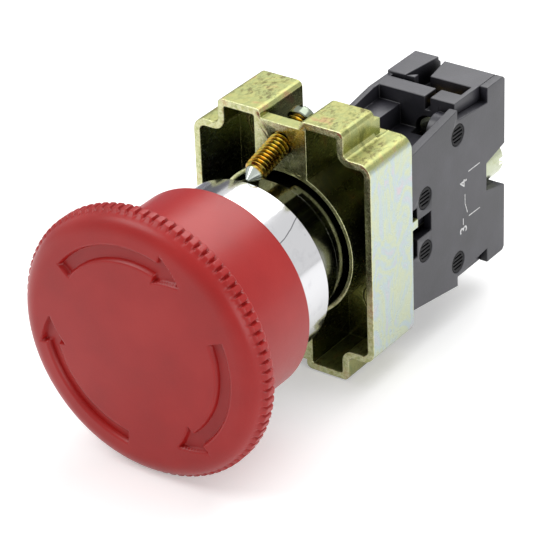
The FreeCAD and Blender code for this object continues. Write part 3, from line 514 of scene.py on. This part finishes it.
def arrowRecess(radius, deg):
    # how deep the face is cut at a point, with a soft edge all round each arrow
    middle = (head["arrowInner"] + head["arrowOuter"]) / 2
    best = -1.0
    for index in range(head["arrows"]):
        turn = (deg + index * 360 / head["arrows"]) % 360
        arc = math.radians(1) * radius
        band = min(radius - head["arrowInner"], head["arrowOuter"] - radius,
                   (head["tailDeg"] - turn) * arc, (turn - head["barbDeg"] + 6) * arc)
        length = math.radians(head["barbDeg"] - head["tipDeg"]) * middle
        fromTip = math.radians(turn - head["tipDeg"]) * middle
        lean = math.hypot(length, head["arrowBarb"])
        point = min((head["arrowBarb"] * fromTip - abs(radius - middle) * length) / lean, length - fromTip)
        best = max(best, band, point)
    return head["arrowDepth"] * smoothStep(best / head["arrowEdge"] + 0.5)


def ridgeHeight(turn):
    place = (turn * head["ridges"] / math.tau + 0.5) % 1 - 0.5
    return smoothStep((head["ridgeShare"] / 2 - abs(place)) / head["ridgeSoftness"] + 0.5)


def headProfile():
    crown, face = head["crown"], head["crown"] - head["crownRise"]
    dome = (head["faceRadius"] ** 2 + head["crownRise"] ** 2) / (2 * head["crownRise"])
    inner = [0, 2, 4, 6, 8, 9.5, 10.6, 11.2]
    rings = inner + [11.5 + 0.22 * step for step in range(26)]
    points = [(r, -(crown - dome + math.sqrt(dome ** 2 - r ** 2))) for r in rings]
    root = head["radius"] - head["ridgeDepth"]
    rollWidth = root - head["faceRadius"]
    for step in range(10):
        turn = math.radians(6 + 78 * step / 9)
        points.append((head["faceRadius"] + rollWidth * math.sin(turn),
                       -face + head["rollDrop"] * (1 - math.cos(turn))))
    back = crown - head["rimBack"]
    edge = head["rimEdge"]
    ridgeTop = crown - head["ridgeFront"]
    points += [(root, -ridgeTop + step) for step in (0.1, 0.35, 0.6, 1.0, 1.4, 1.7, 1.9)]
    points += arcPoints((root - edge, -back - edge), edge, 0, 90, 4)
    flare = head["skirtFlare"]
    skirt = head["skirtRadius"]
    points += arcPoints((skirt + flare, -back + flare), flare, 270, 180, 8)
    front = head["skirtFront"]
    lip = head["skirtEdge"]
    points += arcPoints((skirt - lip, -front - lip), lip, 0, 90, 4)
    inside = skirt - head["skirtWall"]
    points += arcPoints((inside + lip, -front - lip), lip, 90, 180, 4)
    roof = crown - head["roofDepth"]
    hub = roof - head["hubLength"]
    socketEnd = -hub - head["socketDepth"]
    points += [(inside, -roof), (head["hubRadius"], -roof), (head["hubRadius"], -hub),
               (head["socketRadius"], -hub), (head["socketRadius"], socketEnd), (0, socketEnd)]
    return points


def mushroomHead():
    bm = turnedShape(headProfile(), head["ridges"] * head["stepsPerRidge"])
    ridgeStart = head["crown"] - head["ridgeFront"]
    ridgeEnd = head["crown"] - head["ridgeBack"]
    root = head["radius"] - head["ridgeDepth"]
    for vert in bm.verts:
        radius, front = math.hypot(vert.co.x, vert.co.z) / mm, -vert.co.y / mm
        turn = math.atan2(vert.co.z, vert.co.x)
        if front > head["crown"] - 1.2 and radius < head["faceRadius"]:
            vert.co.y += arrowRecess(radius, math.degrees(turn)) * mm
        elif radius > root - 1.2 and front > ridgeEnd - 0.6:
            fade = smoothStep((ridgeStart + 0.3 - front) / 0.5) * smoothStep((front - ridgeEnd + 0.1) / 0.2)
            grow = 1 + head["ridgeDepth"] * fade * ridgeHeight(turn) / radius
            vert.co.x *= grow
            vert.co.z *= grow
    return finishPiece(bm, "mushroomHead", "mushroom", "red_head", ["mushroom_head"], 60)


mushroomHead()
print("head made")


clampScrew = {"threadRadius": 1.75, "rootRadius": 1.30, "pitch": 0.7, "tipRadius": 0.2, "cone": 2.3,
              "shank": 13.5, "headRadius": 2.1, "headHeight": 2.0, "headEdge": 0.15, "dome": 0.9,
              "slotWidth": 0.6, "slotDepth": 0.9}


def threadedRod(size, start, end, steps=36):
    # a helical sweep of one pitch, flattened at both ends and trimmed to a cone at the tip
    bm = bmesh.new()
    pitch = size["pitch"]
    crest, valley = size["threadRadius"], size["rootRadius"]
    outline = [(valley, 0), (valley, 0.22), (crest, 0.50), (crest, 0.60), (valley, 0.88), (valley, 1)]
    verts = [bm.verts.new((radius * mm, (start - pitch + share * pitch) * mm, 0))
             for radius, share in outline]
    edges = [bm.edges.new(pair) for pair in zip(verts, verts[1:])]
    turns = math.ceil((end - start) / pitch) + 1
    bmesh.ops.spin(bm, geom=verts + edges, cent=(0, 0, 0), axis=alongButton,
                   dvec=(0, pitch * mm / steps, 0), angle=math.tau * turns, steps=steps * turns,
                   use_merge=False, use_duplicate=False)
    bmesh.ops.remove_doubles(bm, verts=bm.verts, dist=0.002 * mm)
    for vert in bm.verts:
        station = min(max(vert.co.y / mm, start), end)
        radius = math.hypot(vert.co.x, vert.co.z) / mm
        limit = size["tipRadius"] + (crest - size["tipRadius"]) * (station - start) / size["cone"]
        shrink = min(1, limit / radius)
        vert.co = Vector((vert.co.x * shrink, station * mm, vert.co.z * shrink))
    bmesh.ops.remove_doubles(bm, verts=bm.verts, dist=0.002 * mm)
    bmesh.ops.dissolve_degenerate(bm, edges=bm.edges, dist=0.001 * mm)
    bmesh.ops.holes_fill(bm, edges=[edge for edge in bm.edges if edge.is_boundary], sides=0)
    bmesh.ops.recalc_face_normals(bm, faces=bm.faces)
    return bm


def slotted(bm, top, depth, width, radius):
    # cuts a driver slot across a turned head and returns its mesh
    blank, cutter = bpy.data.meshes.new("blank"), bpy.data.meshes.new("cutter")
    bm.to_mesh(blank)
    bm.free()
    bar = bmesh.new()
    bulk = Matrix.Diagonal((width * mm, 2 * depth * mm, 3 * radius * mm, 1))
    bmesh.ops.create_cube(bar, size=1, matrix=Matrix.Translation((0, top * mm, 0)) @ bulk)
    bar.to_mesh(cutter)
    bar.free()
    blankObj, cutterObj = (bpy.data.objects.new(mesh.name, mesh) for mesh in (blank, cutter))
    for obj in (blankObj, cutterObj):
        bpy.context.scene.collection.objects.link(obj)
    cut = blankObj.modifiers.new("slot", "BOOLEAN")
    cut.operation, cut.solver, cut.object = "DIFFERENCE", "EXACT", cutterObj
    bpy.context.view_layer.update()
    result = bpy.data.meshes.new_from_object(blankObj.evaluated_get(bpy.context.evaluated_depsgraph_get()))
    for obj in (blankObj, cutterObj):
        bpy.data.objects.remove(obj)
    for mesh in (blank, cutter):
        bpy.data.meshes.remove(mesh)
    return result


def clampScrewPiece(side):
    name = "clamp_screw_" + ("top" if side > 0 else "bottom")
    bm = threadedRod(clampScrew, 0, clampScrew["shank"] + 0.5)
    seat, radius, edge = clampScrew["shank"], clampScrew["headRadius"], clampScrew["headEdge"]
    headTop = seat + clampScrew["headHeight"]
    dome = clampScrew["dome"]
    profile = [(0, seat), (radius - edge, seat), (radius, seat + edge)]
    profile += arcPoints((radius - dome, headTop - dome), dome, 0, 90, 8) + [(0, headTop)]
    top = slotted(turnedShape(profile, 64), headTop, clampScrew["slotDepth"], clampScrew["slotWidth"],
                  radius)
    bm.from_mesh(top)
    bpy.data.meshes.remove(top)
    place = Matrix.Rotation(clampTilt, 4, "X")
    place = Matrix.Translation((0, clampTip[0] * mm, clampTip[1] * mm)) @ place
    if side < 0:
        place = Matrix.Rotation(math.pi, 4, "Y") @ place
    bmesh.ops.transform(bm, matrix=place, verts=bm.verts)
    return finishPiece(bm, name + "_threaded", bodyOf[name], "passivated_screw", [name], 32)


for side in (1, -1):
    clampScrewPiece(side)
print("clamp screws made")


softEdges = {"bezel_body": 0.14, "collar_body": 0.10, "block_housing": 0.14, "block_cover": 0.12,
             "block_screw": 0.10, "terminal_screw_4": 0.10, "terminal_screw_3": 0.10,
             "terminal_clamp_4": 0.08, "terminal_clamp_3": 0.08}
for node, width in softEdges.items():
    softCopy(node, width)
pinPlastic = mouldedPlastic("pinPlastic", blockFinish["pin"], blockFinish["hollow"], blockFinish["pin"],
                            0.45, 0.6, 1.0, 0.15)
softCopy("cover_pins", 0.05, pinPlastic)
print("edges softened:", len(softEdges) + 1)


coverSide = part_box("block_cover")[1].x
printing = {"raise": 0.02, "stroke": 0.17, "figure": 2.66, "swell": 0.02, "row": 33.65,
            "figures": [("3", -5.8), ("4", 2.0)],
            "strokes": [((33.5, -5.0), (33.5, -3.9)), ((34.7, -3.4), (34.0, -1.55)),
                        ((34.0, -1.6), (34.0, 0.0)), ((34.95, 3.4), (38.2, 3.4)),
                        ((35.1, -4.15), (38.2, -4.2))]}


def printedMarks():
    # two terminal numbers and the sign of a contact that is open at rest, written up the block's side
    bm = bmesh.new()
    for letter, height in printing["figures"]:
        text = bpy.data.curves.new("figure", "FONT")
        text.body = letter
        text.size = printing["figure"] * mm
        text.align_x, text.align_y = "CENTER", "CENTER"
        text.offset = printing["swell"] * mm
        text.extrude = printing["raise"] * mm
        obj = bpy.data.objects.new("figure", text)
        bpy.context.scene.collection.objects.link(obj)
        bpy.context.view_layer.update()
        mesh = bpy.data.meshes.new_from_object(obj.evaluated_get(bpy.context.evaluated_depsgraph_get()))
        # the figure's right goes up the block and its top points back towards the head
        mesh.transform(Matrix(((0, 0, 1, coverSide), (0, -1, 0, printing["row"] * mm),
                               (1, 0, 0, height * mm), (0, 0, 0, 1))))
        bm.from_mesh(mesh)
        bpy.data.objects.remove(obj)
        bpy.data.meshes.remove(mesh)
    for (startY, startZ), (endY, endZ) in printing["strokes"]:
        length = math.hypot(endY - startY, endZ - startZ)
        turn = math.atan2(endZ - startZ, endY - startY)
        place = (Matrix.Translation((coverSide, (startY + endY) / 2 * mm, (startZ + endZ) / 2 * mm))
                 @ Matrix.Rotation(turn, 4, "X")
                 @ Matrix.Diagonal((2 * printing["raise"] * mm, length * mm, printing["stroke"] * mm, 1)))
        bmesh.ops.create_cube(bm, size=1, matrix=place)
    bmesh.ops.recalc_face_normals(bm, faces=bm.faces)
    return finishPiece(bm, "blockPrint", "root", "black_plastic", (), 30, whitePrint())


printedMarks()
print("print made")


# floor, light and camera

def stagePlane(name, size, place, material):
    bm = bmesh.new()
    bmesh.ops.create_grid(bm, x_segments=1, y_segments=1, size=size / 2, matrix=place)
    mesh = bpy.data.meshes.new(name)
    bm.to_mesh(mesh)
    bm.free()
    mesh.materials.append(material)
    obj = bpy.data.objects.new(name, mesh)
    bpy.context.scene.collection.objects.link(obj)
    return obj


def floorPaper():
    material, tree, shader = newMaterial("floorPaper")
    shader.inputs["Base Color"].default_value = (0.86, 0.86, 0.86, 1)
    shader.inputs["Roughness"].default_value = 0.9
    shader.inputs["Specular IOR Level"].default_value = 0.1
    glow = addNode(tree, "ShaderNodeEmission")
    path = addNode(tree, "ShaderNodeLightPath")
    seen = maths(tree, "MAXIMUM", path.outputs["Is Camera Ray"], path.outputs["Is Glossy Ray"])
    tree.links.new(maths(tree, "MULTIPLY", seen, 0.35), glow.inputs["Strength"])
    both = addNode(tree, "ShaderNodeAddShader")
    tree.links.new(shader.outputs["BSDF"], both.inputs[0])
    tree.links.new(glow.outputs["Emission"], both.inputs[1])
    tree.links.new(both.outputs["Shader"], tree.nodes["Material Output"].inputs["Surface"])
    return material


stagePlane("floor", 6.0, Matrix.Translation((0, 0, cadLow.z)), floorPaper())

lamps = [
    ("topSoftbox", (0.10, 0.25, 0.75), 0.70, 3.4),
    ("backSoftbox", (-0.23, 0.87, 0.74), 0.90, 4.6),
    ("frontLeft", (-0.48, -0.42, 0.78), 0.60, 4.0),
    ("rightSide", (0.85, -0.25, 0.28), 0.50, 2.2),
]
aim = (cadLow + cadHigh) / 2
for name, place, size, power in lamps:
    light = bpy.data.lights.new(name, "AREA")
    light.shape = "DISK"
    light.size = size
    light.energy = power
    lamp = bpy.data.objects.new(name, light)
    lamp.location = place
    lamp.rotation_mode = "QUATERNION"
    lamp.rotation_quaternion = (aim - Vector(place)).to_track_quat("-Z", "Y")
    bpy.context.scene.collection.objects.link(lamp)

# dark cards that only the shiny metal sees
flags = [
    ("standingFlag", (-0.78, 0.80, 0.215), 90, (1.0, 0.43)),
    ("lyingFlag", (-0.38, 0.40, -0.018), 0, (0.8, 0.9)),
]
flagPaper, flagTree, flagShader = newMaterial("flagPaper")
flagShader.inputs["Base Color"].default_value = (0.16, 0.16, 0.19, 1)
for name, place, lean, size in flags:
    turned = Matrix.Rotation(math.radians(45), 4, "Z") @ Matrix.Rotation(math.radians(lean), 4, "X")
    stretched = Matrix.Translation(place) @ turned @ Matrix.Diagonal((*size, 1, 1))
    flag = stagePlane(name, 1.0, stretched, flagPaper)
    flag.visible_camera = flag.visible_diffuse = flag.visible_shadow = False

world = bpy.data.worlds.new("studio")
bpy.context.scene.world = world
world.use_nodes = True
tree = world.node_tree
background = tree.nodes["Background"]
background.inputs["Color"].default_value = (1, 1, 1, 1)
path = addNode(tree, "ShaderNodeLightPath")
shown = maths(tree, "MAXIMUM", path.outputs["Is Camera Ray"],
              maths(tree, "MAXIMUM", path.outputs["Is Glossy Ray"], path.outputs["Is Transmission Ray"]))
tree.links.new(spread(tree, shown, 0.34, 1.0), background.inputs["Strength"])

view = {"azimuthDeg": 36.265, "elevationDeg": 30.032, "rollDeg": -2.403, "distance": 417.2, "lens": 194.8,
        "aim": (0, 8.29, 0), "aside": -2.425, "up": -3.636}


def addCamera():
    turn, rise, roll = (math.radians(view[key]) for key in ("azimuthDeg", "elevationDeg", "rollDeg"))
    back = Vector((math.sin(turn) * math.cos(rise), -math.cos(turn) * math.cos(rise), math.sin(rise)))
    flat = Vector((math.cos(turn), math.sin(turn), 0))
    steep = back.cross(flat)
    right = flat * math.cos(roll) + steep * math.sin(roll)
    up = steep * math.cos(roll) - flat * math.sin(roll)
    target = Vector(view["aim"]) + right * view["aside"] + up * view["up"]
    camera = bpy.data.objects.new("camera", bpy.data.cameras.new("camera"))
    camera.data.lens = view["lens"]
    camera.data.sensor_width = 36
    camera.data.clip_start, camera.data.clip_end = 0.01, 20
    spot = (target + back * view["distance"]) * mm
    camera.matrix_world = Matrix.Translation(spot) @ Matrix((right, up, back)).transposed().to_4x4()
    bpy.context.scene.collection.objects.link(camera)
    bpy.context.scene.camera = camera


addCamera()
bpy.context.scene.view_settings.view_transform = "Standard"
print("stage set")
